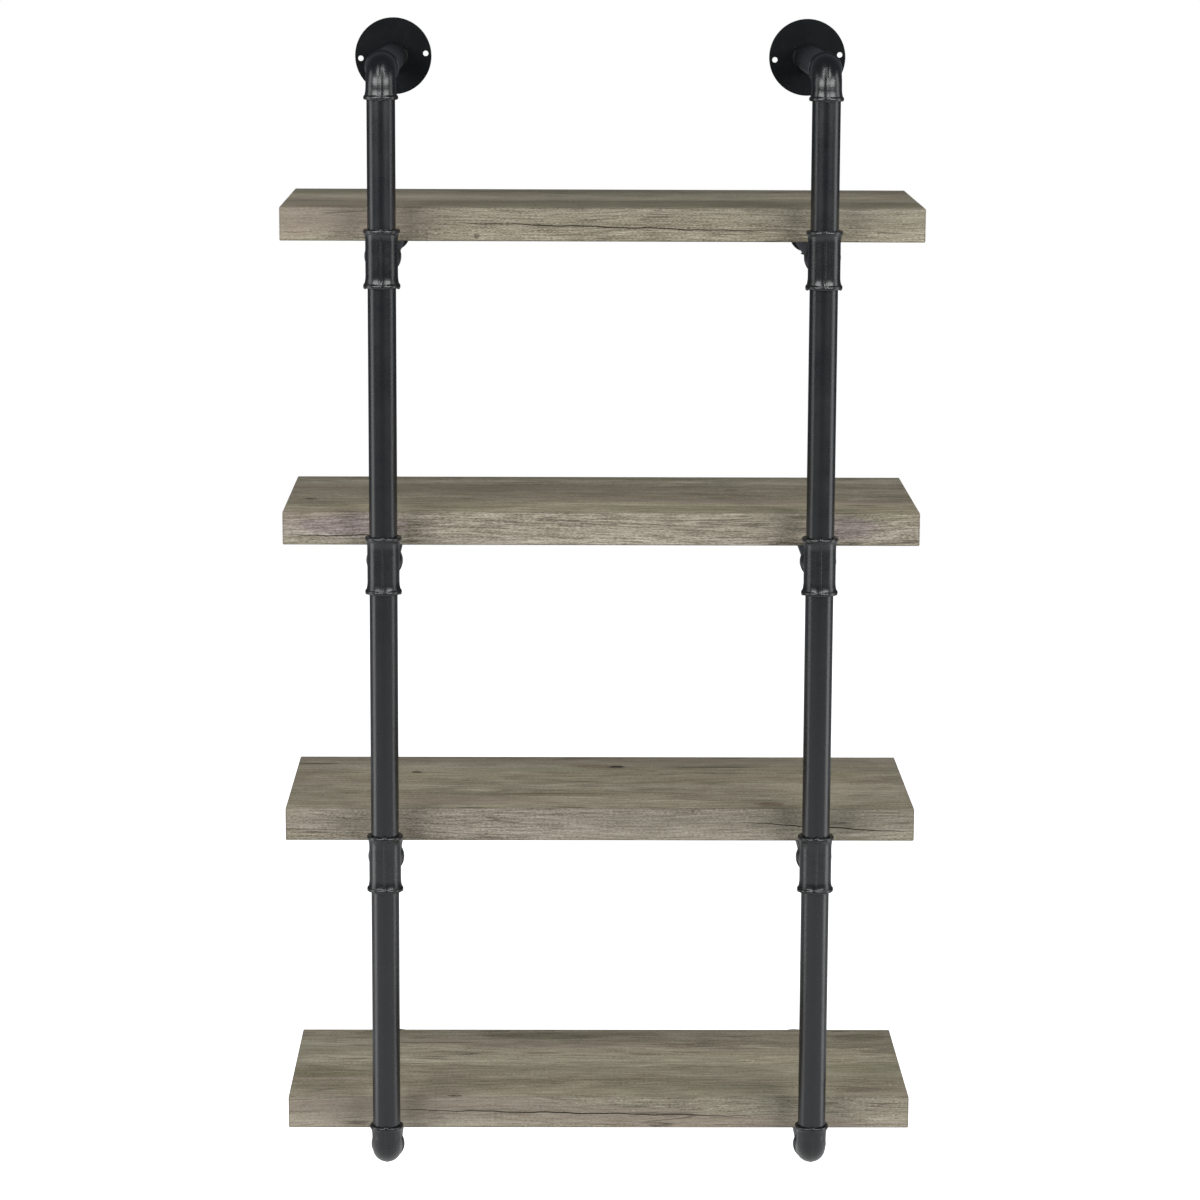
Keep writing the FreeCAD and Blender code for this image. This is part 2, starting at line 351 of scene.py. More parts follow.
class Shader:
    """A material and the nodes that make it."""

    def __init__(self, name: str) -> None:
        """Starts a new material.

        Args:
            name: The material's name.
        """
        self.material = bpy.data.materials.new(name)
        self.material.use_nodes = True
        self.tree = self.material.node_tree
        self.surface = self.tree.nodes["Principled BSDF"]

    def node(self, kind: str, settings: dict[str, object] | None = None,
             inputs: dict[str | int, Value] | None = None) -> bpy.types.Node:
        """Adds a node.

        Args:
            kind: The node's type.
            settings: Its own properties, set first. "stops" fills a colour ramp.
            inputs: Values or links of its sockets, by name or place.

        Returns:
            The new node.
        """
        made = self.tree.nodes.new(kind)
        for name, value in (settings or {}).items():
            if name == "stops":
                self._fill_ramp(made.color_ramp, value)
            else:
                setattr(made, name, value)
        for name, value in (inputs or {}).items():
            self._feed(made.inputs[name], value)
        return made

    def _feed(self, target: bpy.types.NodeSocket, value: Value) -> None:
        """Links a socket or sets its value.

        Args:
            target: The input socket.
            value: The link or the value that it gets.
        """
        if isinstance(value, Signal):
            value = value.socket
        if isinstance(value, bpy.types.NodeSocket):
            self.tree.links.new(value, target)
        else:
            target.default_value = value

    @staticmethod
    def _fill_ramp(ramp: bpy.types.ColorRamp, stops: Sequence[tuple[float, Rgb]]) -> None:
        """Gives a colour ramp its stops.

        Args:
            ramp: The ramp to fill.
            stops: (place, colour) pairs, in order.
        """
        while len(ramp.elements) < len(stops):
            ramp.elements.new(0.5)
        for element, (place, colour) in zip(ramp.elements, stops):
            element.position = place
            element.color = (*colour, 1)

    def math(self, operation: str, first: Value, second: Value = 0.0) -> Signal:
        """One Math node on one or two values."""
        made = self.node("ShaderNodeMath", {"operation": operation}, {0: first, 1: second})
        return Signal(self, made.outputs[0])

    def position(self) -> bpy.types.NodeSocket:
        """The point being shaded, in the object's own coordinates."""
        return self.node("ShaderNodeTexCoord").outputs["Object"]

    def attribute(self, name: str) -> bpy.types.NodeSocket:
        """A vector attribute of the piece's mesh."""
        return self.node("ShaderNodeAttribute", {"attribute_name": name}).outputs["Vector"]

    def parts(self, vector: bpy.types.NodeSocket) -> tuple[Signal, Signal, Signal]:
        """The three numbers of a vector."""
        made = self.node("ShaderNodeSeparateXYZ", inputs={0: vector})
        return tuple(Signal(self, output) for output in made.outputs)

    def vector(self, x: Value, y: Value, z: Value) -> bpy.types.NodeSocket:
        """A vector of three numbers."""
        return self.node("ShaderNodeCombineXYZ", inputs={0: x, 1: y, 2: z}).outputs[0]

    def noise(self, place: bpy.types.NodeSocket, scale: float = 1.0, detail: float = 2.0,
              roughness: float = 0.5) -> Signal:
        """Soft noise about 0.5.

        Args:
            place: Where it is read.
            scale: Features per unit of the place.
            detail: How many finer layers it has.
            roughness: How strong the finer layers are.

        Returns:
            The noise.
        """
        made = self.node("ShaderNodeTexNoise", None, {
            "Vector": place, "Scale": scale, "Detail": detail, "Roughness": roughness})
        return Signal(self, made.outputs["Fac"])

    def ramp(self, signal: Signal, stops: Sequence[tuple[float, Rgb]]) -> bpy.types.NodeSocket:
        """A colour that follows a number through a list of stops."""
        return self.node("ShaderNodeValToRGB", {"stops": stops}, {0: signal}).outputs["Color"]

    def mixed(self, first: Value, second: Value, amount: Value,
              blend: str = "MIX") -> bpy.types.NodeSocket:
        """Two colours mixed by an amount.

        Args:
            first: The colour where the amount is 0.
            second: The colour that is blended over it.
            amount: How much of the second shows, from 0 to 1.
            blend: How the second is laid on, such as MIX or MULTIPLY.

        Returns:
            The socket of the mixed colour.
        """
        colours = [(*v, 1) if isinstance(v, tuple) else v for v in (first, second)]
        made = self.node("ShaderNodeMix", {"data_type": "RGBA", "blend_type": blend},
                         {0: amount, 6: colours[0], 7: colours[1]})
        return made.outputs[2]

    def bump(self, height: Signal, depth: float, under: bpy.types.NodeSocket | None = None
             ) -> bpy.types.NodeSocket:
        """A normal shaped by a height.

        Args:
            height: The height, about 0 to 1.
            depth: The real depth between 0 and 1.
            under: Another normal that this one is laid on.

        Returns:
            The socket of the shaped normal.
        """
        inputs = {"Height": height, "Distance": depth, "Strength": 1.0}
        if under is not None:
            inputs["Normal"] = under
        return self.node("ShaderNodeBump", None, inputs).outputs["Normal"]

    def dress(self, **sockets: Value) -> bpy.types.Material:
        """Sets or links the surface's sockets.

        Args:
            **sockets: Values or links by socket name, with _ for each space.

        Returns:
            The finished material.
        """
        for name, value in sockets.items():
            self._feed(self.surface.inputs[name.replace("_", " ")], value)
        return self.material


# Finishes


@dataclass(frozen=True)
class Mark:
    """A patch in the foil's print, placed from the middle of the board's front top edge.

    across is measured back over the top, and is negative down the front. The grain's own
    colour is multiplied by the stain. swirl says how strongly the grain is led round the
    patch, as it is round a knot.
    """

    along: float
    across: float
    length: float
    width: float
    stain: Rgb
    strength: float
    swirl: float = 0.0


@dataclass(frozen=True)
class Grain:
    """One layer of noise stretched along the grain.

    per_along and per_across are features per metre, detail and rough are the noise's own,
    and layer sets it apart from the others. weight says how much it counts in the tone, or
    how strongly its colour is laid on, and relief how far it stands out of the surface.
    step turns it into a mask that rises from 0 to 1 between two values.
    """

    per_along: float
    per_across: float
    detail: float
    rough: float
    layer: float
    weight: float = 1.0
    relief: float = 0.0
    step: Step | None = None

    def laid(self, along: Signal, across: Signal, roll: float) -> Signal:
        """Lays the layer on a board.

        Args:
            along: Metres along the grain.
            across: Metres across the grain.
            roll: Which stretch of the endless foil the board got.

        Returns:
            The noise, about 0.5, or the mask.
        """
        shader = along.shader
        place = shader.vector(along * self.per_along, across * self.per_across,
                              roll + self.layer)
        noise = shader.noise(place, 1.0, self.detail, self.rough)
        return noise.eased(*self.step) if self.step else noise


@dataclass(frozen=True)
class Driftwood:
    """Grey driftwood foil, printed and embossed, whose grain runs along the board.

    It reads the mesh attribute FOIL: metres along the grain, metres across it from the
    front top edge, and 1 on the folded edges, which get painted shade, 0 elsewhere.
    """

    name: str
    roll: float
    marks: tuple[Mark, ...] = ()

    FOIL = "foil"

    # Layers of the print, from the broadest to the finest, then its marks and its wander
    BAND = Grain(1.3, 13, 2.0, 0.5, 1.0, weight=0.76)
    BROAD = Grain(1.5, 30, 2.0, 0.5, 3.0, weight=0.36)
    STREAK = Grain(7, 120, 3.0, 0.55, 7.0, weight=0.30)
    FIBRE = Grain(30, 660, 2.0, 0.65, 11.0, weight=1.20, relief=0.6)
    NAP = Grain(340, 1400, 1.0, 0.5, 17.0, weight=1.15, relief=0.4)
    FIGURE = Grain(16, 140, 3.0, 0.65, 71.0, weight=0.75)
    TINT = Grain(2.0, 21, 2.0, 0.5, 23.0)
    SPECKLE = Grain(210, 320, 3.0, 0.5, 61.0, weight=2.4)
    PORE_FIELD = Grain(4, 34, 2.0, 0.5, 31.0, step=(0.42, 0.64))
    PORES = Grain(34, 700, 2.0, 0.5, 29.0, weight=0.60, relief=-0.55, step=(0.58, 0.68))
    FLECKS = Grain(45, 620, 2.0, 0.5, 37.0, weight=0.55, relief=0.2, step=(0.61, 0.70))
    HAIR = Grain(4.5, 130, 2.0, 0.5, 47.0, weight=0.55, relief=-0.5)
    HAIR_FIELD = Grain(16, 60, 1.0, 0.5, 49.0, step=(0.54, 0.64))
    CRACK = Grain(1.5, 40, 2.0, 0.5, 53.0, weight=0.70, relief=-1.0)
    CRACK_FIELD = Grain(4.2, 11, 1.0, 0.5, 59.0, step=(0.60, 0.68))
    SLOW_DRIFT = Grain(2.1, 6.0, 1.0, 0.5, 41.0, weight=30 * MM)
    QUICK_DRIFT = Grain(9.0, 34.0, 1.0, 0.5, 43.0, weight=4 * MM)

    # Colours of the print, from dark to pale, how much of each tint shows, and how much painted
    # shade darkens the folded edges
    TONES = (
        (0.00, (0.080, 0.066, 0.040)),
        (0.25, (0.165, 0.143, 0.095)),
        (0.50, (0.284, 0.252, 0.178)),
        (0.75, (0.395, 0.360, 0.268)),
        (1.00, (0.530, 0.490, 0.380)),
    )
    TONE_SHIFT = 1.380
    PINK, PINK_SHARE = (0.290, 0.230, 0.182), 0.50
    GREEN, GREEN_SHARE = (0.230, 0.224, 0.150), 0.36
    TINT_STEP = (0.52, 0.68)
    DARK = (0.048, 0.038, 0.026)
    PORE = (0.095, 0.080, 0.056)
    PALE = (0.490, 0.445, 0.335)
    EDGE_SHADE_SHARE = 0.30

    # The fronts are darker at their brow and paler at their foot: the same painted shade under the
    # brow and painted light towards the foot on every front
    BROW_SHADE = (0.885, 0.890, 0.910)
    FOOT_LIGHT = (1.250, 1.260, 1.310)
    FRONT_STEP = (-1 * MM, 0.0)
    FOOT_LIGHT_STEP = (-28 * MM, -12 * MM)

    # Ragged rims of the marks, and half widths of the hair lines and cracks in their noise
    RAG = 1.2
    RAG_STEP = (0.2, 0.8)
    RIM_STEP = (0.0, 0.3)
    MARK_FALL = 1.3
    HAIR_WIDTH = 0.020
    CRACK_WIDTH = 0.0075

    # Surface
    SHEEN = 0.30
    ROUGH, FIBRE_ROUGH, PORE_ROUGH = 0.56, 0.24, 0.1
    EMBOSS = 0.30 * MM

    def material(self) -> bpy.types.Material:
        """Makes the material.

        Returns:
            The finished material.
        """
        shader = Shader(self.name)
        along, across, edge = shader.parts(shader.attribute(self.FOIL))
        front = 1 - across.eased(*self.FRONT_STEP)
        # Where the painted light at each front's foot shows
        foot = 1 - across.eased(*self.FOOT_LIGHT_STEP)
        patches = [self._nearness(mark, along, across) for mark in self.marks]
        for mark, patch in zip(self.marks, patches):
            if mark.swirl:
                across = across - (across - mark.across) * patch * mark.swirl
        across = across + self._drift(along, across)

        def lay(grain: Grain) -> Signal:
            """Lays one layer of the grain on the board."""
            return grain.laid(along, across, self.roll)

        streak, fibre, nap, tint = (lay(self.STREAK), lay(self.FIBRE), lay(self.NAP),
                                    lay(self.TINT))
        tone = (lay(self.BAND) * self.BAND.weight + lay(self.BROAD) * self.BROAD.weight
                + streak * self.STREAK.weight + fibre * self.FIBRE.weight
                + nap * self.NAP.weight - self.TONE_SHIFT)
        tone = tone + (lay(self.FIGURE) - 0.5) * (1 - front) * self.FIGURE.weight
        colour = shader.ramp(tone, self.TONES)
        pink = tint.eased(*self.TINT_STEP) * self.PINK_SHARE
        colour = shader.mixed(colour, self.PINK, pink)
        green = (1 - tint).eased(*self.TINT_STEP) * self.GREEN_SHARE
        colour = shader.mixed(colour, self.GREEN, green)
        # Painted light and shade on the fronts: darker under the top edge, paler towards the foot
        painted_front_light = shader.mixed(self.BROW_SHADE, self.FOOT_LIGHT, foot)
        colour = shader.mixed(colour, painted_front_light, front, "MULTIPLY")

        speckle = (lay(self.SPECKLE) - 0.5) * self.SPECKLE.weight
        ragged_fibre = (fibre + streak - 1) * self.RAG
        for mark, patch in zip(self.marks, patches):
            torn = (patch + (speckle if mark.swirl else ragged_fibre)).eased(*self.RAG_STEP)
            stained = torn * patch.eased(*self.RIM_STEP) * mark.strength
            colour = shader.mixed(colour, mark.stain, stained, "MULTIPLY")

        pore_field = lay(self.PORE_FIELD)
        pores, flecks = lay(self.PORES) * pore_field, lay(self.FLECKS) * pore_field
        hair = self._contour(lay(self.HAIR), self.HAIR_WIDTH) * lay(self.HAIR_FIELD)
        crack = self._contour(lay(self.CRACK), self.CRACK_WIDTH) * lay(self.CRACK_FIELD)
        relief = fibre * self.FIBRE.relief + nap * self.NAP.relief
        for mask, grain, shade in (
            (pores, self.PORES, self.PORE),
            (flecks, self.FLECKS, self.PALE),
            (hair, self.HAIR, self.DARK),
            (crack, self.CRACK, self.DARK),
        ):
            colour = shader.mixed(colour, shade, mask * grain.weight)
            relief = relief + mask * grain.relief
        return shader.dress(
            # Painted shade: every folded edge is darkened towards DARK, outlining the board
            Base_Color=shader.mixed(colour, self.DARK, edge * self.EDGE_SHADE_SHARE),
            Specular_IOR_Level=self.SHEEN,
            Roughness=self.ROUGH + fibre * self.FIBRE_ROUGH + pores * self.PORE_ROUGH,
            Normal=shader.bump(relief, self.EMBOSS),
        )

    @staticmethod
    def _contour(field_of_grain: Signal, half_width: float) -> Signal:
        """1 on the thin lines where a noise passes its middle value."""
        return 1 - abs(field_of_grain - 0.5).eased(half_width / 4, half_width)

    def _drift(self, along: Signal, across: Signal) -> Signal:
        """How far the grain wanders sideways.

        Args:
            along: Metres along the grain.
            across: Metres across the grain.

        Returns:
            The sideways shift in metres.
        """
        slow = self.SLOW_DRIFT.laid(along, across, self.roll)
        quick = self.QUICK_DRIFT.laid(along, across, self.roll)
        return (slow - 0.5) * self.SLOW_DRIFT.weight + (quick - 0.5) * self.QUICK_DRIFT.weight

    def _nearness(self, mark: Mark, along: Signal, across: Signal) -> Signal:
        """How near a point is to a mark.

        Args:
            mark: The mark.
            along: Metres along the grain.
            across: Metres across the grain.

        Returns:
            1 in the middle of the mark, falling to 0 at its rim.
        """
        x = (along - mark.along) / (mark.length / 2)
        y = (across - mark.across) / (mark.width / 2)
        return 1 - (x * x + y * y).eased(0.0, self.MARK_FALL)


@dataclass(frozen=True)
class Coat:
    """Dark skin with fine dimples and worn patches: black coat on steel and iron, or torn wood
    painted near-black with shade in a board's split.

    sheen is how strongly it mirrors, worn the colour of its worn patches, and wear how much
    of that colour shows.
    """

    name: str
    colour: Rgb
    rough: float
    dimple_depth: float
    dimple_pitch: float
    sheen: float = 0.5
    worn: Rgb = (0.018, 0.019, 0.020)
    wear: float = 0.25

    # CLOUDS and PATCHES are features per metre, PATCH_DEPTH is in dimple depths
    CLOUDS, CLOUD_ROUGH = 38.0, 0.16
    PATCHES, PATCH_STEP, PATCH_DEPTH = 160.0, (0.50, 0.78), 1.5
    DIMPLE_ROUGH = 0.10

    def material(self) -> bpy.types.Material:
        """Makes the material.

        Returns:
            The finished material.
        """
        shader = Shader(self.name)
        place = shader.position()
        dimples = shader.noise(place, 1 / self.dimple_pitch, 3.0, 0.55)
        cloud = shader.noise(place, self.CLOUDS, 3.0, 0.6)
        patch = shader.noise(place, self.PATCHES, 4.0, 0.65)
        worn = patch.eased(*self.PATCH_STEP) * self.wear
        bump = shader.bump(dimples, self.dimple_depth)
        return shader.dress(
            Base_Color=shader.mixed(self.colour, self.worn, worn),
            Specular_IOR_Level=self.sheen,
            Roughness=(self.rough + (cloud - 0.5) * self.CLOUD_ROUGH
                       + (dimples - 0.5) * self.DIMPLE_ROUGH),
            Normal=shader.bump(patch, self.dimple_depth * self.PATCH_DEPTH, bump),
        )


@dataclass(frozen=True)
class BareMetal:
    """Plain metal of the small hardware, with fine turning marks."""

    name: str
    colour: Rgb
    rough: float

    # MARKS and STAINS are features per metre
    MARKS, MARK_DEPTH = 2400.0, 0.02 * MM
    STAINS, STAIN_STEP, STAIN_ROUGH = 220.0, (0.45, 0.75), 0.25
    DULL = 0.55

    def material(self) -> bpy.types.Material:
        """Makes the material.

        Returns:
            The finished material.
        """
        shader = Shader(self.name)
        place = shader.position()
        marks = shader.noise(place, self.MARKS, 2.0)
        stain = shader.noise(place, self.STAINS, 3.0)
        dull = tuple(self.DULL * part for part in self.colour)
        return shader.dress(
            Base_Color=shader.mixed(self.colour, dull, stain.eased(*self.STAIN_STEP)),
            Metallic=1.0,
            Roughness=self.rough + (stain - 0.5) * self.STAIN_ROUGH,
            Normal=shader.bump(marks, self.MARK_DEPTH),
        )


class Finish(Enum):
    """Every finish apart from the boards' foil."""

    PIPE = Coat("black_pipe_coat", (0.0046, 0.0054, 0.0066), rough=0.29,
                dimple_depth=0.006 * MM, dimple_pitch=0.9 * MM, wear=0.10)
    CAST = Coat("black_cast_coat", (0.0052, 0.0059, 0.0068), rough=0.27,
                dimple_depth=0.006 * MM, dimple_pitch=1.3 * MM, wear=0.10)
    DISC = Coat("black_disc_coat", (0.0024, 0.0032, 0.0040), rough=0.40,
                dimple_depth=0.015 * MM, dimple_pitch=0.7 * MM, sheen=0.16)
    # Torn wood on a split's walls, painted near-black: painted shade in the recess
    SPLIT = Coat("split_shade_wood", (0.022, 0.017, 0.012), rough=0.85,
                 dimple_depth=0.10 * MM, dimple_pitch=0.8 * MM, sheen=0.2,
                 worn=(0.060, 0.048, 0.034), wear=0.6)
    ZINC = BareMetal("black_zinc", (0.16, 0.16, 0.17), rough=0.38)
    BRASS = BareMetal("insert_brass", (0.62, 0.45, 0.20), rough=0.32)

    @property
    def material(self) -> bpy.types.Material:
        """The finish's material, made when it is first asked for."""
        return bpy.data.materials.get(self.value.name) or self.value.material()


# Pieces


def show(piece: bpy.types.Object, node: str) -> None:
    """Puts a finished piece in the place of a CAD node.

    Args:
        piece: The finished piece, at the origin.
        node: The CAD node that it stands for.
    """
    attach(piece, BODY)
    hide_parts(node)
    log.info("%s: %d faces", piece.name, len(piece.data.polygons))


def dress_node(node: str, finish_choice: Finish) -> None:
    """Gives a CAD node that is shown as it is one of the finishes.

    Args:
        node: The CAD node.
        finish_choice: Its finish.
    """
    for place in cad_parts[node].material_slots:
        place.material = finish_choice.material
    log.info("%s: dressed in %s", node, finish_choice.value.name)


@dataclass(frozen=True)
class Split:
    """An open split in a board's front.

    start and end are places along the board from its middle. away and away_end are the
    distances down from the front's top edge at the two ends. The split is widest and
    deepest halfway. WAVES are its slow and quick waves: radians per metre, and swing.
    """

    start: float
    end: float
    away: float
    away_end: float
    width: float = 0.9 * MM
    depth: float = 0.8 * MM
    phase: float = 0.0
    step: float = 6 * MM

    LEAST_STEPS = 8
    LEAST_WIDTH, SWELL_POWER = 0.12, 0.45
    LEAST_DEPTH = 0.3
    WAVES = ((95.0, 0.45 * MM), (260.0, 0.20 * MM))

    def blade(self, board: "Board") -> bpy.types.Object:
        """Models the thin wavy solid that is cut out of the board to open the split.

        Args:
            board: The board that it is cut out of.

        Returns:
            The closed solid.
        """
        steps = max(self.LEAST_STEPS, round((self.end - self.start) / self.step))
        bpy.ops.object.select_all(action="DESELECT")
        bpy.ops.mesh.primitive_cube_add(size=1, scale=(self.end - self.start, 1, 1),
                                        location=((self.start + self.end) / 2, 0, 0))
        item = settle(bpy.context.object, "split_blade")
        with editing(item, "EDGE") as mesh:
            pick(mesh.edges, lambda edge: abs(edge.verts[0].co.x - edge.verts[1].co.x) > MM)
            bpy.ops.mesh.subdivide(number_cuts=steps)
        for vertex in item.data.vertices:
            vertex.co = self._shaped(vertex.co, board)
        # The split's walls take the near-black finish, painted shade inside the split
        item.data.materials.append(Finish.SPLIT.material)
        return item

    def _shaped(self, point: Vector, board: "Board") -> Vector:
        """Moves one point of the straight blade to its place in the split.

        Args:
            point: The point of the straight blade.
            board: The board that the blade is for.

        Returns:
            The moved point.
        """
        part = (point.x - self.start) / (self.end - self.start)
        swell = max(0.0, math.sin(math.pi * part))
        open_width = self.width * max(self.LEAST_WIDTH, swell ** self.SWELL_POWER)
        (slow, swing), (quick, ripple) = self.WAVES
        wave = math.sin(point.x * slow + self.phase) * swing + math.sin(point.x * quick) * ripple
        away = self.away + (self.away_end - self.away) * part + wave
        sink = math.copysign(self.depth, point.y) * max(self.LEAST_DEPTH, swell)
        return Vector((point.x, board.front + sink, board.top - away + point.z * open_width))


@dataclass
class Board:
    """One laminated board: crisp eased edges, open splits and blind holes for its inserts.

    A face whose normal lies along an axis by more than FLAT isn't on a folded edge. Past END
    it belongs to an end of the board, and past FACE to its front or its back.
    """

    level: str
    foil: Driftwood
    splits: tuple[Split, ...] = ()
    ease: float = 1.2 * MM
    ease_steps: int = 3
    sharp_angle: float = 25.0
    hole_r: float = 5 * MM
    hole_depth: float = 16 * MM
    hole_sides: int = 32

    FLAT = 0.98
    END, FACE = 0.75, 0.7

    def __post_init__(self) -> None:
        """Looks up the board's node and its box."""
        self.node = f"{self.level}_board"
        self.low, self.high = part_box(self.node)
        self.front, self.top = self.low.y, self.high.z

    def build(self) -> None:
        """Models the board, lays the foil's coordinates on it and shows it."""
        board = self._plank()
        cut(board, self._insert_holes() + [split.blade(self) for split in self.splits])
        self._lay_foil(board)
        show(board, self.node)

    def _plank(self) -> bpy.types.Object:
        """Models the board with its edges eased.

        Returns:
            The solid board, with the foil's material.
        """
        bpy.ops.object.select_all(action="DESELECT")
        bpy.ops.mesh.primitive_cube_add(size=1, location=(self.low + self.high) / 2,
                                        scale=self.high - self.low)
        board = settle(bpy.context.object, f"{self.level}_board_plank")
        board.data.materials.append(self.foil.material())
        with editing(board, "EDGE") as mesh:
            pick(mesh.edges, lambda edge: True)
            bpy.ops.mesh.bevel(offset=self.ease, segments=self.ease_steps, affect="EDGES")
        smooth(board, self.sharp_angle)
        return board

    def _insert_holes(self) -> list[bpy.types.Object]:
        """Models the cutters for the blind holes that hold the threaded inserts.

        Returns:
            The cutters, one for each insert.
        """
        low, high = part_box(f"{self.level}_board_inserts")
        columns = (low.x + self.hole_r, high.x - self.hole_r)
        rows = (low.y + self.hole_r, high.y - self.hole_r)
        cutter = turned("insert_hole", [
            (self.hole_r, self.low.z - self.hole_depth),
            (self.hole_r, self.low.z + self.hole_depth),
        ], self.hole_sides)
        holes = [copy_of(cutter, "insert_hole", Matrix.Translation((x, y, 0)))
                 for x in columns for y in rows]
        discard(cutter)
        return holes

    def _lay_foil(self, board: bpy.types.Object) -> None:
        """Stores where the foil lies: wrapped front to back over the top, and round the ends.

        Args:
            board: The finished solid board.
        """
        mesh = board.data
        layer = mesh.attributes.new(Driftwood.FOIL, "FLOAT_VECTOR", "CORNER")
        for face in mesh.polygons:
            for loop in face.loop_indices:
                point = mesh.vertices[mesh.loops[loop].vertex_index].co
                layer.data[loop].vector = self._foil_place(point, face.normal)

    def _foil_place(self, point: Vector, normal: Vector) -> Vector:
        """Where the foil lies at one point.

        Args:
            point: The point of the board.
            normal: The normal of its face.

        Returns:
            (along, across, edge).
        """
        drop = self.top - point.z
        back = point.y - self.front
        edge = float(max(abs(part) for part in normal) < self.FLAT)
        if abs(normal.x) > self.END:
            return Vector((math.copysign(self.high.x + back, normal.x), -drop, edge))
        if normal.y < -self.FACE:
            return Vector((point.x, -drop, edge))
        if normal.y > self.FACE:
            return Vector((point.x, self.high.y - self.front + drop, edge))
        if normal.z > 0:
            return Vector((point.x, back, edge))
        return Vector((point.x, -drop - back, edge))


@dataclass
class Casting:
    """What every cast fitting shares: a body that flares into a rolled bead at each mouth.

    The mould's two halves meet in the fitting's own YZ plane, which leaves a low seam down
    its front and back and a lump where the seam crosses each bead. reach is the distance
    from the fitting's middle to its mouths, margin what the beads keep free for the uneven
    skin, and mouth_gap the dark gap round the pipe at a mouth.
    """

    body_r: float
    bead_r: float
    reach: float
    pipe_r: float
    bead_width: float = 3.9 * MM
    bead_crown: float = 1.1 * MM
    bead_power: float = 0.8
    flare_length: float = 8.0 * MM
    flare_power: float = 2.2
    seam_rise: float = 0.75 * MM
    seam_share: float = 0.17
    lump_size: tuple[float, float, float] = (2.4 * MM, 1.9 * MM, 2.0 * MM)
    lump_inset: float = 2.2 * MM
    lump_drop: float = 0.6 * MM
    margin: float = 0.25 * MM
    thread_r: float = 12.62 * MM
    passage_r: float = 10.5 * MM
    socket_depth: float = 11.5 * MM
    mouth_gap: float = 0.95 * MM
    mouth_depth: float = 1.4 * MM
    cutter_sides: int = 60
    cutter_overrun: float = 3 * MM
    voxel: float = 0.42 * MM
    soften: float = 0.5
    soften_rounds: int = 5
    skin_depth: float = 0.12 * MM
    skin_pitch: float = 7.0 * MM

    def arm_outline(self, rise: float = 0.0) -> list[Point]:
        """Outside of one arm, from its middle up to its mouth.

        Args:
            rise: How much the body stands out, for the mould's seam.

        Returns:
            (radius, height) points.
        """
        crest = self.bead_r - (0 if rise else self.margin)
        rim = crest - self.bead_crown
        bead_foot = self.reach - self.bead_width
        flare_foot = bead_foot - self.flare_length
        body = self.body_r + rise
        points = [(body, 0.0), (body, flare_foot)]
        points += [(body + (rim - body) * t ** self.flare_power,
                    flare_foot + self.flare_length * t) for t in curve(0.2, 1.0, 5)]
        points += [(rim + self.bead_crown * math.sin(a) ** self.bead_power,
                    self.reach - self.bead_width * (1 + math.cos(a)) / 2)
                   for a in curve(0.25, math.pi - 0.25, 8)]
        return points + [(rim, self.reach)]

    def arm(self, name: str, direction: Vector, rise: float = 0.0,
            foot: float = 0.0) -> bpy.types.Object:
        """One arm of the fitting laid along a direction.

        Args:
            name: What the new object is called.
            direction: Where its mouth faces.
            rise: How much the body stands out, for the mould's seam.
            foot: Where the arm begins, measured from the fitting's middle.

        Returns:
            The arm as a closed solid.
        """
        outline = self.arm_outline(rise)
        outline[0] = (outline[0][0], foot)
        item = turned(name, outline)
        item.data.transform(self.aim(direction))
        return item

    @staticmethod
    def aim(direction: Vector) -> Matrix:
        """The turn that lays the Z axis along a direction."""
        return Vector((0, 0, 1)).rotation_difference(direction).to_matrix().to_4x4()

    def squashed(self, item: bpy.types.Object) -> bpy.types.Object:
        """Flattens a solid onto the mould's parting plane, to stand out as a thin seam."""
        item.data.transform(Matrix.Diagonal((self.seam_share, 1, 1, 1)))
        return item

    def lumps(self, direction: Vector) -> list[bpy.types.Object]:
        """Models the two lumps that the seam leaves on one mouth's bead.

        Args:
            direction: Where the mouth faces.

        Returns:
            The lumps, one at each side of the mouth.
        """
        made = []
        for side in (-1, 1):
            bpy.ops.object.select_all(action="DESELECT")
            bpy.ops.mesh.primitive_ico_sphere_add(
                subdivisions=3, radius=1, scale=self.lump_size,
                location=(0, side * (self.bead_r - self.lump_inset),
                          self.reach - self.lump_drop))
            lump = settle(bpy.context.object, "seam_lump")
            lump.data.transform(self.aim(direction))
            made.append(lump)
        return made

    def cast(self, shells: Sequence[bpy.types.Object], name: str) -> bpy.types.Object:
        """Melts overlapping shells into one casting with rounded corners and an uneven skin.

        Args:
            shells: The closed shells.
            name: What the casting is called.

        Returns:
            The casting as one closed solid.
        """
        casting = merged(shells, name)
        finish(casting, "REMESH", mode="VOXEL", voxel_size=self.voxel)
        finish(casting, "SMOOTH", factor=self.soften, iterations=self.soften_rounds)
        skin = bpy.data.textures.get("cast_skin") or bpy.data.textures.new("cast_skin", "CLOUDS")
        skin.noise_scale = self.skin_pitch
        finish(casting, "DISPLACE", texture=skin, strength=self.skin_depth, mid_level=0.5)
        return casting

    def socket_cutter(self, direction: Vector, foot: float) -> bpy.types.Object:
        """Models what is cut out at one mouth: the passage, the socket and its wider lip.

        Args:
            direction: Where the mouth faces.
            foot: Where the passage begins, measured from the fitting's middle.

        Returns:
            The cutter.
        """
        gap_r = self.pipe_r + self.mouth_gap
        socket = self.reach - self.socket_depth
        cutter = turned("socket_cutter", [
            (self.passage_r, foot),
            (self.passage_r, socket),
            (self.thread_r, socket),
            (self.thread_r, self.reach - self.mouth_depth),
            (gap_r, self.reach - self.mouth_depth / 3),
            (gap_r, self.reach + self.cutter_overrun),
        ], self.cutter_sides)
        cutter.data.transform(self.aim(direction))
        return cutter


TO_WALL, UP, DOWN = Vector((0, 1, 0)), Vector((0, 0, 1)), Vector((0, 0, -1))


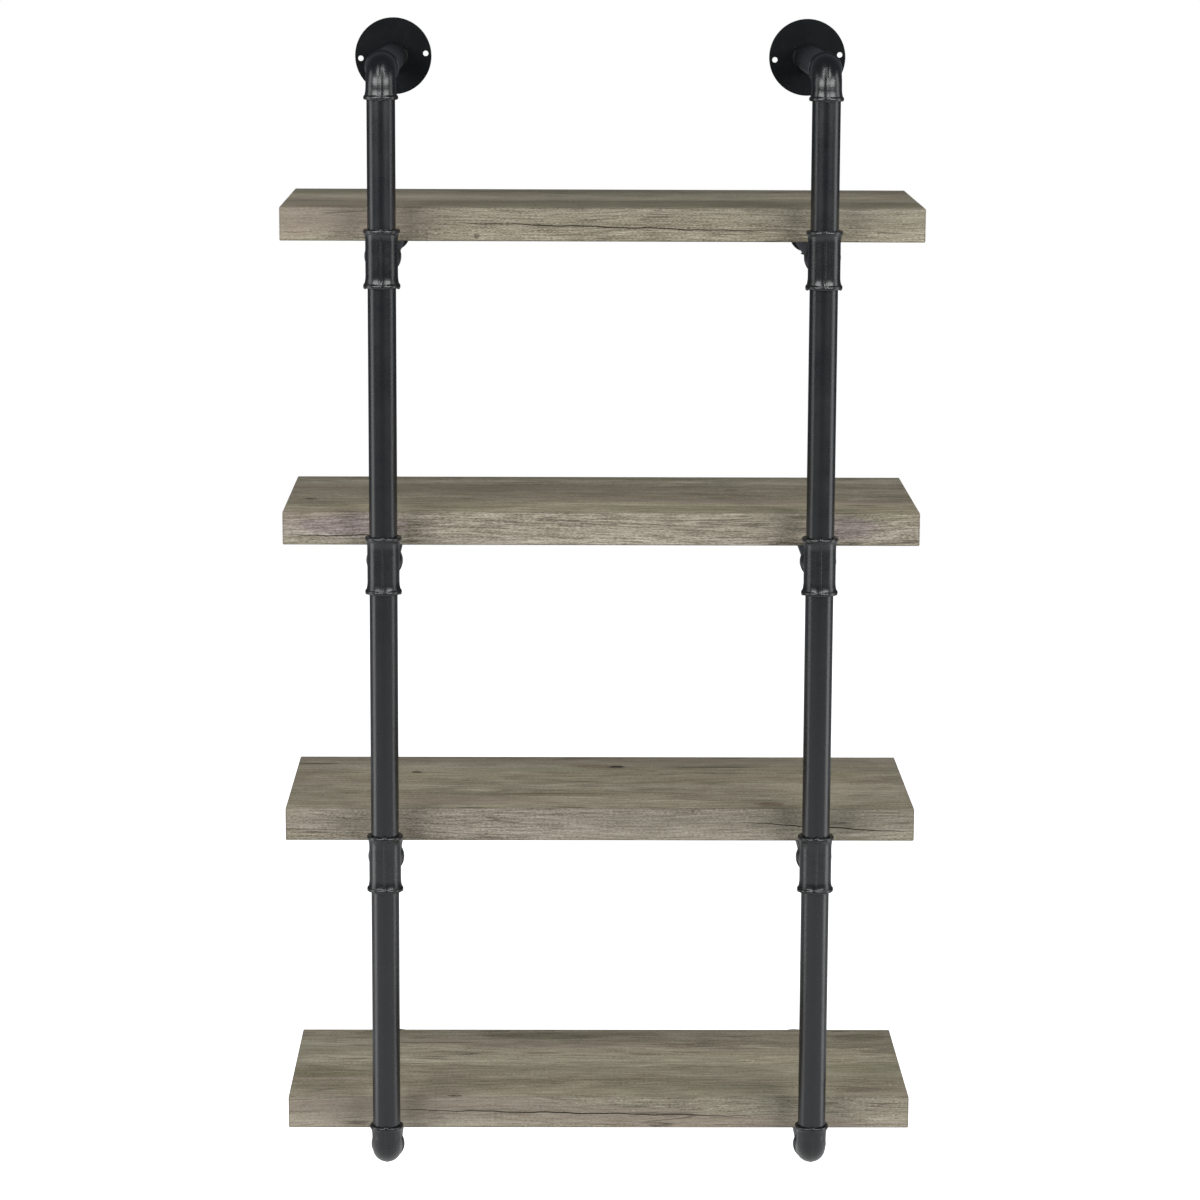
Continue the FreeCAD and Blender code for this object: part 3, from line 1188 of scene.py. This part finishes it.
@dataclass
class Tee(Casting):
    """Tee with its run upright and its branch towards the wall.

    passage_overlap is how far each mouth's passage runs past the tee's middle.
    """

    passage_overlap: float = 1 * MM

    def build(self) -> bpy.types.Object:
        """Models one tee.

        Returns:
            The tee, with its middle at the origin.
        """
        mouths = (UP, DOWN, TO_WALL)
        shells = [self.arm("tee_arm", way) for way in mouths]
        shells += [self.squashed(self.arm("tee_seam", way, self.seam_rise)) for way in mouths]
        shells += [lump for way in mouths for lump in self.lumps(way)]
        casting = self.cast(shells, "tee_casting")
        cut(casting, [self.socket_cutter(way, -self.passage_overlap) for way in mouths])
        clean(casting)
        smooth(casting)
        return casting


@dataclass
class Elbow(Casting):
    """Elbow with one mouth facing up and one facing the wall.

    arm_overlap is how far an arm reaches into the bend, and passage_overlap how much
    further its passage does.
    """

    bend_r: float = 17.0 * MM
    bend_steps: int = 20
    bend_sides: int = 72
    arm_overlap: float = 0.5 * MM
    passage_overlap: float = 4 * MM

    def build(self) -> bpy.types.Object:
        """Models one elbow.

        Returns:
            The elbow, with its corner at the origin.
        """
        mouths = (UP, TO_WALL)
        foot = self.bend_r - self.arm_overlap
        shells = [self.bend("elbow_bend", self.body_r)]
        shells.append(self.squashed(self.bend("elbow_seam", self.body_r + self.seam_rise)))
        for way in mouths:
            shells.append(self.arm("elbow_arm", way, 0.0, foot))
            shells.append(self.squashed(self.arm("elbow_seam", way, self.seam_rise, foot)))
            shells += self.lumps(way)
        casting = self.cast(shells, "elbow_casting")
        cut(casting, [self.socket_cutter(way, foot - self.passage_overlap) for way in mouths])
        clean(casting)
        smooth(casting)
        return casting

    def bend(self, name: str, radius: float) -> bpy.types.Object:
        """Models a round bar bent a quarter turn between the two arms.

        Args:
            name: What the new object is called.
            radius: The bar's radius.

        Returns:
            The bent bar as a closed solid.
        """
        bpy.ops.object.select_all(action="DESELECT")
        bpy.ops.mesh.primitive_circle_add(vertices=self.bend_sides, radius=radius,
                                          fill_type="NGON", location=(0, 0, self.bend_r))
        item = settle(bpy.context.object, name)
        with editing(item) as mesh:
            pick(mesh.faces, lambda face: True)
            bpy.ops.mesh.spin(steps=self.bend_steps, angle=math.pi / 2, axis=(-1, 0, 0),
                              center=(0, self.bend_r, self.bend_r))
            bpy.ops.mesh.select_all(action="SELECT")
            bpy.ops.mesh.remove_doubles(threshold=SAME_POINT)
            bpy.ops.mesh.normals_make_consistent(inside=False)
        return item


@dataclass
class EndCap(Casting):
    """Domed cap with its mouth at the origin facing away from its dome."""

    bead_power: float = 0.7
    cutter_sides: int = 64
    length: float = 20 * MM
    lip: float = 0.4 * MM
    dome_rise: float = 2.0 * MM
    corner_r: float = 1.6 * MM

    def build(self) -> bpy.types.Object:
        """Models one cap.

        Returns:
            The cap, with its mouth at Z = 0 and its dome up.
        """
        rim = self.bead_r - self.margin - self.bead_crown / 2
        body = self.body_r
        shoulder = self.length - self.dome_rise - self.margin
        points = [(rim, 0.0), (rim, self.lip)]
        points += [(body + (self.bead_r - self.margin - body) * math.sin(a) ** self.bead_power,
                    self.bead_width * (1 - math.cos(a)) / 2) for a in curve(0.5, math.pi, 8)]
        points += [(body, shoulder - self.corner_r)]
        points += [(body - self.corner_r * (1 - math.cos(a)),
                    shoulder - self.corner_r * (1 - math.sin(a)))
                   for a in curve(0.3, math.pi / 2, 4)]
        edge_r = body - self.corner_r
        points += [(edge_r * math.cos(a), shoulder + self.dome_rise * math.sin(a))
                   for a in curve(0.25, 1.45, 6)]
        casting = self.cast([turned("cap_shell", points)], "cap_casting")
        cutter = turned("socket_cutter", [
            (self.pipe_r + self.mouth_gap, -self.cutter_overrun),
            (self.pipe_r + self.mouth_gap, self.mouth_depth / 3),
            (self.thread_r, self.mouth_depth),
            (self.thread_r, self.socket_depth),
        ], self.cutter_sides)
        cut(casting, [cutter])
        clean(casting)
        smooth(casting)
        return casting


@dataclass
class PipeFrame:
    """One side's pipe frame: castings that stand for their nodes, and pipes that are dressed."""

    side: str
    tee: bpy.types.Object
    elbow: bpy.types.Object
    cap: bpy.types.Object

    def build(self) -> None:
        """Places this side's castings and dresses its pipes and wall discs."""
        for level in ("top", "upper", "lower"):
            self._place(self.tee, f"{level}_tee", Matrix.Identity(4))
            self._place_cap(f"{level}_end_cap")
        self._place(self.elbow, "bottom_elbow", Matrix.Identity(4))
        self._place(self.elbow, "hanger_elbow", Matrix.Rotation(math.pi, 4, "Y"))
        for level in ("hanger", *LEVELS):
            dress_node(f"{self.side}_{level}_arm_pipe", Finish.PIPE)
        for level in LEVELS:
            dress_node(f"{self.side}_{level}_upright_pipe", Finish.PIPE)
        for level in ("hanger", "bottom"):
            dress_node(f"{self.side}_{level}_wall_disc", Finish.DISC)

    def _place(self, casting: bpy.types.Object, part: str, turn: Matrix) -> None:
        """Shows a copy of a casting where its node's two axes cross.

        Args:
            casting: The tee or the elbow that is copied.
            part: The node's name without its side.
            turn: How the copy is turned about its middle.
        """
        node = f"{self.side}_{part}"
        low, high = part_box(node)
        radius = (high.x - low.x) / 2
        corners = {"bottom_elbow": low.z + radius, "hanger_elbow": high.z - radius}
        height = corners.get(part, (low.z + high.z) / 2)
        middle = Vector(((low.x + high.x) / 2, low.y + radius, height))
        piece = copy_of(casting, f"{node}_casting", Matrix.Translation(middle) @ turn)
        show(piece, node)

    def _place_cap(self, part: str) -> None:
        """Shows a copy of the end cap with its mouth at the front of its node.

        Args:
            part: The node's name without its side.
        """
        node = f"{self.side}_{part}"
        low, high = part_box(node)
        mouth = Vector(((low.x + high.x) / 2, low.y, (low.z + high.z) / 2))
        matrix = Matrix.Translation(mouth) @ Casting.aim(TO_WALL)
        show(copy_of(self.cap, f"{node}_casting", matrix), node)


@dataclass
class Hardware:
    """The bolts, washers and threaded inserts of every board."""

    def build(self) -> None:
        """Dresses the hardware's nodes."""
        for level in LEVELS:
            dress_node(f"{level}_board_bolts", Finish.ZINC)
            dress_node(f"{level}_board_washers", Finish.ZINC)
            dress_node(f"{level}_board_inserts", Finish.BRASS)


@dataclass
class Softbox:
    """A soft rectangular lamp aimed at a point, and its mirror image on the left.

    A lamp for shine only shows in the pipes' gloss and lights nothing else.
    """

    name: str
    place: Vector
    target: Vector
    width: float
    height: float
    power: float
    shine_only: bool = False

    def build(self) -> None:
        """Adds the left and the right lamp."""
        self._add(f"left_{self.name}", Vector((-self.place.x, self.place.y, self.place.z)))
        self._add(f"right_{self.name}", self.place)

    def _add(self, name: str, place: Vector) -> None:
        """Adds one lamp.

        Args:
            name: What it is called.
            place: Where it stands.
        """
        data = bpy.data.lights.new(name, "AREA")
        data.shape = "RECTANGLE"
        data.size, data.size_y = self.width, self.height
        data.energy = self.power
        lamp = bpy.data.objects.new(name, data)
        lamp.visible_diffuse = not self.shine_only
        lamp.location = place
        lamp.rotation_euler = (self.target - place).to_track_quat("-Z", "Y").to_euler()
        bpy.context.scene.collection.objects.link(lamp)


@dataclass
class Studio:
    """Pale floor, soft lamps and the camera.

    The floor and the room look white to the camera. To the shelf the room is dim, and the
    floor glows only some way from it, between glow_from and glow_full, and in front. Nearer the
    shelf its glow falls to a painted shadow of the shelf.
    """

    camera_place: Vector = field(default_factory=lambda: Vector((-0.0452, -3.9, 0.1604)))
    camera_pitch: float = math.radians(10.361)
    camera_yaw: float = math.radians(0.693)
    camera_roll: float = math.radians(0.251)
    lens: float = 115.92
    clip_end: float = 200.0
    floor_drop: float = 0.55
    floor_r: float = 6.5
    floor_sides: int = 64
    floor_colour: Rgb = (0.8, 0.8, 0.8)
    # Glow of the floor's painted shadow under the shelf
    floor_shadow: Rgb = (0.16, 0.16, 0.16)
    floor_glow: Rgb = (0.54, 0.54, 0.55)
    floor_seen: Rgb = (1.10, 1.10, 1.10)
    floor_rough: float = 0.9
    glow_from: float = 1.0
    glow_full: float = 4.0
    wall_fade: Step = (-0.5, 1.5)
    surround: Rgb = (0.096, 0.103, 0.118)

    def build(self) -> None:
        """Sets up the whole studio."""
        self._camera()
        self._floor()
        self._surround()
        Softbox("strip", place=Vector((1.9, -0.36, -0.3)), target=Vector((0, -0.3, -0.3)),
                width=0.8, height=2.6, power=17).build()
        Softbox("key", place=Vector((2.6, -3.2, 1.15)), target=Vector((0, -0.2, -0.5)),
                width=2.8, height=1.6, power=124).build()
        Softbox("top", place=Vector((1.07, -2.0, 2.6)), target=Vector((0, -0.2, -0.1)),
                width=0.4, height=2.2, power=36, shine_only=True).build()
        bpy.context.scene.view_settings.view_transform = "Standard"

    def _camera(self) -> None:
        """Adds the camera at the photograph's viewing angle."""
        data = bpy.data.cameras.new("camera")
        data.lens = self.lens
        data.clip_end = self.clip_end
        camera = bpy.data.objects.new("camera", data)
        turn = (Matrix.Rotation(-self.camera_yaw, 4, "Z")
                @ Matrix.Rotation(math.pi / 2 - self.camera_pitch, 4, "X")
                @ Matrix.Rotation(self.camera_roll, 4, "Z"))
        camera.matrix_world = Matrix.Translation(self.camera_place) @ turn
        bpy.context.scene.collection.objects.link(camera)
        bpy.context.scene.camera = camera

    def _floor(self) -> None:
        """Adds the pale floor, well below the shelf."""
        height = cad_box[0].z - self.floor_drop
        bpy.ops.object.select_all(action="DESELECT")
        bpy.ops.mesh.primitive_circle_add(vertices=self.floor_sides, radius=self.floor_r,
                                          fill_type="NGON", location=(0, 0, height))
        floor = settle(bpy.context.object, "studio_floor")
        shader = Shader("pale_floor")
        x, y, _ = shader.parts(shader.position())
        away = (x * x + y * y).eased(self.glow_from ** 2, self.glow_full ** 2)
        lit = away * (1 - y.eased(*self.wall_fade))
        # Near the shelf the glow is dimmed to a painted shadow
        glow = shader.mixed(self.floor_shadow, self.floor_glow, lit)
        seen = Signal(shader, shader.node("ShaderNodeLightPath").outputs["Is Camera Ray"])
        floor.data.materials.append(shader.dress(
            Base_Color=(*self.floor_colour, 1),
            Roughness=self.floor_rough,
            Emission_Color=shader.mixed(glow, self.floor_seen, seen),
            Emission_Strength=1.0,
        ))
        floor.visible_diffuse = False
        floor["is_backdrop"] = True

    def _surround(self) -> None:
        """Lights the room dimly, and shows it white to the camera."""
        world = bpy.data.worlds.new("studio_surround")
        world.use_nodes = True
        tree = world.node_tree
        seen = tree.nodes.new("ShaderNodeBackground")
        seen.inputs["Color"].default_value = (1, 1, 1, 1)
        felt = tree.nodes["Background"]
        felt.inputs["Color"].default_value = (*self.surround, 1)
        path = tree.nodes.new("ShaderNodeLightPath")
        mix = tree.nodes.new("ShaderNodeMixShader")
        tree.links.new(path.outputs["Is Camera Ray"], mix.inputs[0])
        tree.links.new(felt.outputs[0], mix.inputs[1])
        tree.links.new(seen.outputs[0], mix.inputs[2])
        tree.links.new(mix.outputs[0], tree.nodes["World Output"].inputs[0])
        bpy.context.scene.world = world


# Stains that the marks multiply the grain's colour by
BROWN = (0.66, 0.57, 0.50)
UMBER = (0.22, 0.18, 0.15)
PEAT = (0.72, 0.73, 0.66)
MAUVE = (0.96, 0.91, 1.06)
PEARL = (1.12, 1.09, 1.20)
SAND = (1.25, 1.25, 1.20)
BONE = (1.50, 1.51, 1.54)


def boards() -> list[Board]:
    """The four boards, with the marks and splits that tell them apart.

    Returns:
        The boards from the top down, not yet built.
    """
    # Mark(along, across, length, width, stain, strength, swirl)
    # Split(start, end, away, away_end, width)
    return [
        Board("top", Driftwood("top_driftwood", 0.0, (
            Mark(-0.03, 0.145, 0.95, 0.120, SAND, 0.90),
            Mark(0.08, 0.045, 0.75, 0.100, PEAT, 0.90),
            Mark(-0.245, 0.012, 0.12, 0.030, BROWN, 0.45),
            Mark(-0.119, -0.027, 7 * MM, 6 * MM, UMBER, 0.60),
        )), (
            Split(-0.142, 0.152, 14.5 * MM, 22.0 * MM, 1.1 * MM),
        )),
        Board("upper", Driftwood("upper_driftwood", 5.3, (
            Mark(0.05, 0.196, 0.80, 0.060, BONE, 0.50),
            Mark(0.02, 0.020, 0.90, 0.110, SAND, 0.70),
            Mark(-0.15, 0.150, 0.22, 0.060, PEAT, 0.50),
            Mark(0.170, 0.125, 0.10, 5 * MM, UMBER, 0.55),
            Mark(-0.2825, 0.080, 16 * MM, 10 * MM, UMBER, 0.90, 0.5),
            Mark(-0.050, 0.195, 26 * MM, 12 * MM, BROWN, 0.70, 0.3),
            Mark(0.130, 0.142, 18 * MM, 16 * MM, BROWN, 0.70, 0.3),
            Mark(0.0, -0.016, 0.9, 0.045, PEARL, 0.80),
            Mark(-0.235, -0.012, 0.13, 0.026, MAUVE, 1.00),
            Mark(0.236, -0.014, 0.07, 0.026, MAUVE, 1.00),
        )), (
            Split(-0.300, -0.215, 23.0 * MM, 22.5 * MM, phase=1.0),
        )),
        Board("lower", Driftwood("lower_driftwood", 11.9, (
            Mark(0.02, 0.145, 0.80, 0.075, SAND, 0.60),
            Mark(-0.283, 0.194, 56 * MM, 6 * MM, UMBER, 0.85),
            Mark(0.000, 0.184, 56 * MM, 20 * MM, BROWN, 0.80, 0.4),
            Mark(0.018, 0.182, 22 * MM, 13 * MM, UMBER, 1.00, 0.7),
            Mark(-0.183, 0.157, 14 * MM, 11 * MM, UMBER, 0.90, 0.6),
            Mark(-0.125, 0.002, 34 * MM, 5 * MM, UMBER, 0.85),
            Mark(-0.026, 0.005, 44 * MM, 5 * MM, UMBER, 0.85),
            Mark(0.110, 0.181, 0.13, 7 * MM, UMBER, 0.75),
            Mark(-0.121, 0.079, 60 * MM, 30 * MM, BONE, 0.55, 0.6),
            Mark(-0.04, 0.060, 0.16, 16 * MM, BROWN, 0.65),
            Mark(0.165, 0.020, 34 * MM, 20 * MM, BROWN, 0.85),
            Mark(0.0, -0.016, 0.9, 0.045, PEARL, 0.80),
        )), (
            Split(0.135, 0.298, 13.5 * MM, 23.0 * MM, 1.1 * MM, phase=2.0),
        )),
        Board("bottom", Driftwood("bottom_driftwood", 17.1, (
            Mark(0.03, 0.138, 0.80, 0.085, BONE, 0.60),
            Mark(-0.142, 0.003, 16 * MM, 8 * MM, UMBER, 0.80, 0.5),
            Mark(-0.055, 0.205, 0.15, 0.030, PEAT, 1.00),
            Mark(-0.175, 0.182, 0.13, 5 * MM, UMBER, 0.70),
            Mark(-0.055, 0.145, 50 * MM, 4 * MM, UMBER, 0.80),
            Mark(0.145, 0.160, 90 * MM, 4 * MM, UMBER, 0.65),
            Mark(-0.275, 0.078, 0.13, 0.036, PEAT, 1.00),
            Mark(0.050, 0.055, 0.16, 16 * MM, PEAT, 0.80),
            Mark(0.270, 0.095, 0.14, 0.040, PEAT, 0.90),
            Mark(0.150, 0.118, 22 * MM, 20 * MM, BONE, 0.40, 0.7),
            Mark(0.272, 0.200, 70 * MM, 30 * MM, PEAT, 0.90),
        )), (
            Split(-0.200, 0.150, 13.5 * MM, 20.0 * MM, 1.1 * MM, phase=3.0),
        )),
    ]


def spans(node: str) -> tuple[float, float, float]:
    """Width, depth and height of a CAD node."""
    return tuple(top - bottom for bottom, top in zip(*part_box(node)))


def pipe_frames() -> list[PipeFrame]:
    """Both pipe frames, which copy one tee, one elbow and one cap.

    Returns:
        The left and the right frame, not yet built.
    """
    pipe_width, _, _ = spans("left_top_upright_pipe")
    tee_width, _, tee_height = spans("left_top_tee")
    elbow_width, _, elbow_height = spans("left_bottom_elbow")
    cap_width, cap_length, _ = spans("left_top_end_cap")
    patterns = []
    for casting in (
        Tee(body_r=15.3 * MM, bead_r=tee_width / 2, reach=tee_height / 2,
            pipe_r=pipe_width / 2),
        Elbow(body_r=14.2 * MM, bead_r=elbow_width / 2, reach=elbow_height - elbow_width / 2,
              pipe_r=pipe_width / 2, seam_rise=0.5 * MM),
        EndCap(body_r=15.8 * MM, bead_r=cap_width / 2, reach=0.0, pipe_r=pipe_width / 2,
               length=cap_length),
    ):
        pattern = casting.build()
        coat(pattern, Finish.CAST.material)
        patterns.append(pattern)
    return [PipeFrame(side, *patterns) for side in SIDES]


def main() -> None:
    """Builds every piece, then the studio."""
    logging.basicConfig(level=logging.INFO, format="%(name)s: %(message)s")
    for board in boards():
        board.build()
    sides = pipe_frames()
    for side in sides:
        side.build()
    for pattern in (sides[0].tee, sides[0].elbow, sides[0].cap):
        discard(pattern)
    Hardware().build()
    Studio().build()
    boxes = {"cad": cad_box, "visual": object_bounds()}
    {name: [list(corner) for corner in box] for name, box in boxes.items()}


if __name__ == "__main__":
    main()
